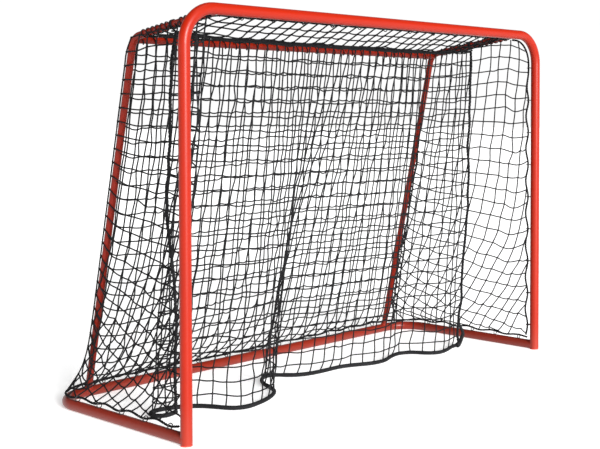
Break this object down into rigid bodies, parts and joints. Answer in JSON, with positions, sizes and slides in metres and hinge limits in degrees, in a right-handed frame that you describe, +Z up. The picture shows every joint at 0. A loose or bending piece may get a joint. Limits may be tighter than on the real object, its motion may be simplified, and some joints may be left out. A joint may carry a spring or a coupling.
{
  "type": "small sports goal",
  "caption": "Free-standing bent-tube goal with a knotted net on its top, back and sides and a hinged inner drop net whose weighted hem lies on the floor.",
  "frame": {"origin": "centre of the footprint, on the floor", "axes": "+X along the width, +Y from the mouth to the back, +Z up"},
  "size_m": [1.666, 0.6782, 1.183],
  "materials": {
    "frame_paint": "semi-gloss orange-red powder coat",
    "plug_plastic": "moulded plastic in the frame's colour",
    "net_twine": "black braided polyethylene twine, knotless square mesh",
    "rope": "black braided cord",
    "hem_sleeve": "black woven tubular sleeve",
    "lead_cord": "dull grey lead cord"
  },
  "bodies": {
    "goal_frame": {"front_frame": "frame_paint", "base_frame": "frame_paint", "left_side_tube": "frame_paint", "right_side_tube": "frame_paint", "rear_top_bar": "frame_paint", "left_post_plug": "plug_plastic", "right_post_plug": "plug_plastic", "net_eyes_left_post": "frame_paint", "net_eyes_right_post": "frame_paint", "net_eyes_crossbar": "frame_paint", "net_eyes_left_rail": "frame_paint", "net_eyes_right_rail": "frame_paint", "net_eyes_rear_rail": "frame_paint", "net_top": "net_twine", "net_back": "net_twine", "net_left": "net_twine", "net_right": "net_twine", "left_post_rope": "rope", "right_post_rope": "rope", "crossbar_rope": "rope", "base_border_rope": "rope", "rear_bar_rope": "rope", "left_bar_lacing": "rope", "right_bar_lacing": "rope", "rear_bar_lacing": "rope", "hanging_loop_left": "rope", "hanging_loop_right": "rope"},
    "drop_net": {"drop_net_panel": "net_twine", "drop_net_head_rope": "rope", "drop_net_left_rope": "rope", "drop_net_right_rope": "rope", "drop_net_hem_sleeve": "hem_sleeve", "drop_net_hem_weight": "lead_cord"}
  },
  "joints": [
    {"name": "drop_net_swing", "type": "hinge", "parent": "goal_frame", "child": "drop_net", "pos_m": [0, -0.1176, 1.1167], "axis": [1, 0, 0], "range_deg": [0, 10]}
  ]
}
